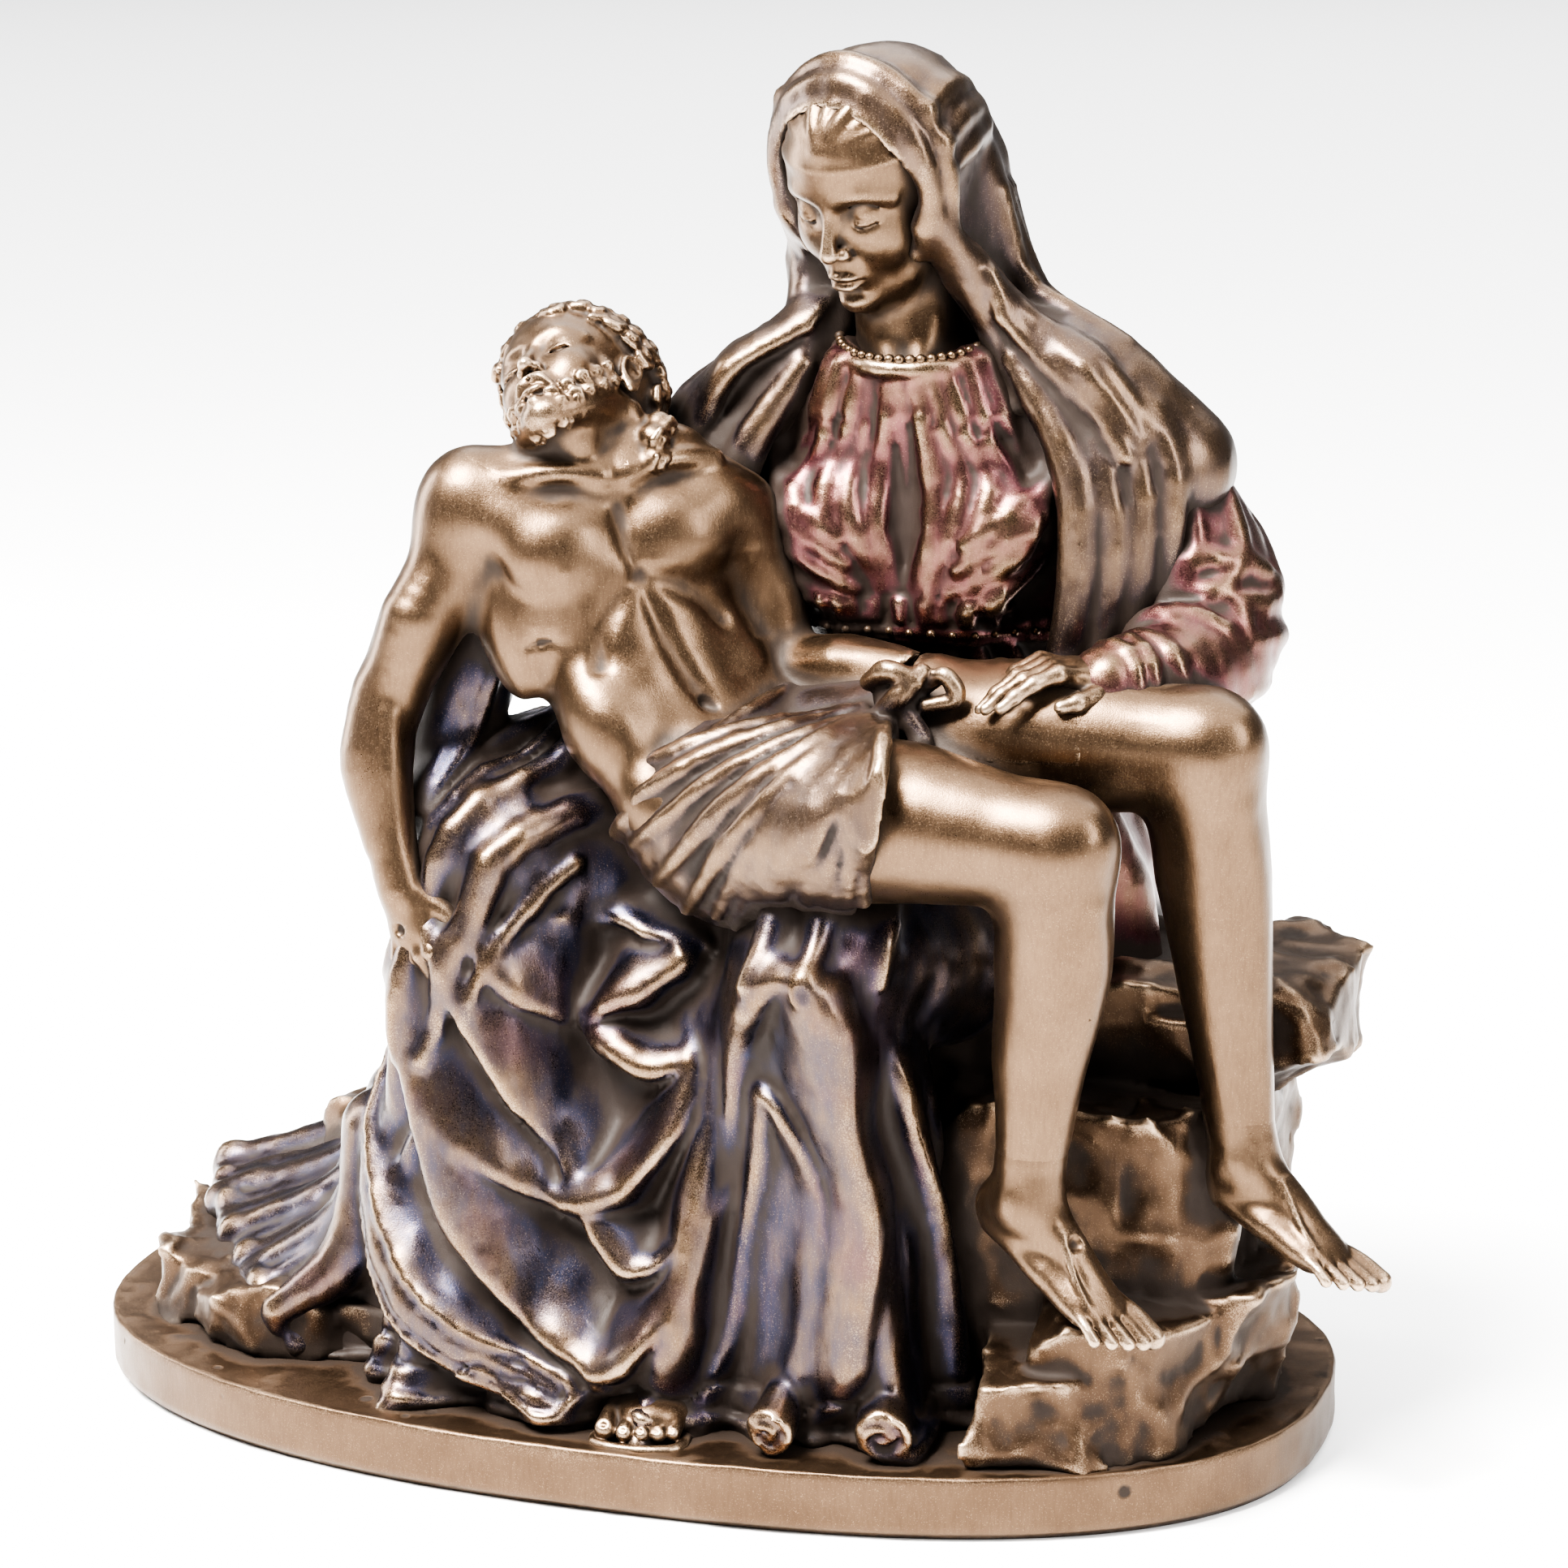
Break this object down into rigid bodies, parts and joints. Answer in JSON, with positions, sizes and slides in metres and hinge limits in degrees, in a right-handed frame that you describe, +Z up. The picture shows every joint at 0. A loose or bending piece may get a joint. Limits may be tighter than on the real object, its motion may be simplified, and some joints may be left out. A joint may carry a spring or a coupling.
{
  "type": "pieta statuette",
  "caption": "Cast bronze-finish pieta statuette: a veiled mother seated on rocks with a reclining man across her lap, on an oval plinth.",
  "frame": {"origin": "centre of the oval plinth's underside", "axes": "+Z up, -Y towards the viewer in front, +X towards the reclining man's feet"},
  "size_m": [0.1598, 0.087, 0.1599],
  "materials": {
    "bronze_flesh": "satin bronze metallic paint on cast resin, dark brown wash in the creases",
    "bronze_gown": "bronze paint tinted rose and violet, bright rubbed ridges, dark wash in the folds",
    "bronze_mantle": "bronze paint tinted blue-grey, bright rubbed ridges, dark blue wash in the folds",
    "bronze_rock": "dark brown bronze paint, rough, with bright rubbed edges",
    "bronze_plinth": "plain satin bronze rim with small dark pits, dark brown top"
  },
  "bodies": {
    "root": {"pieta_casting": "bronze_flesh"}
  },
  "joints": []
}
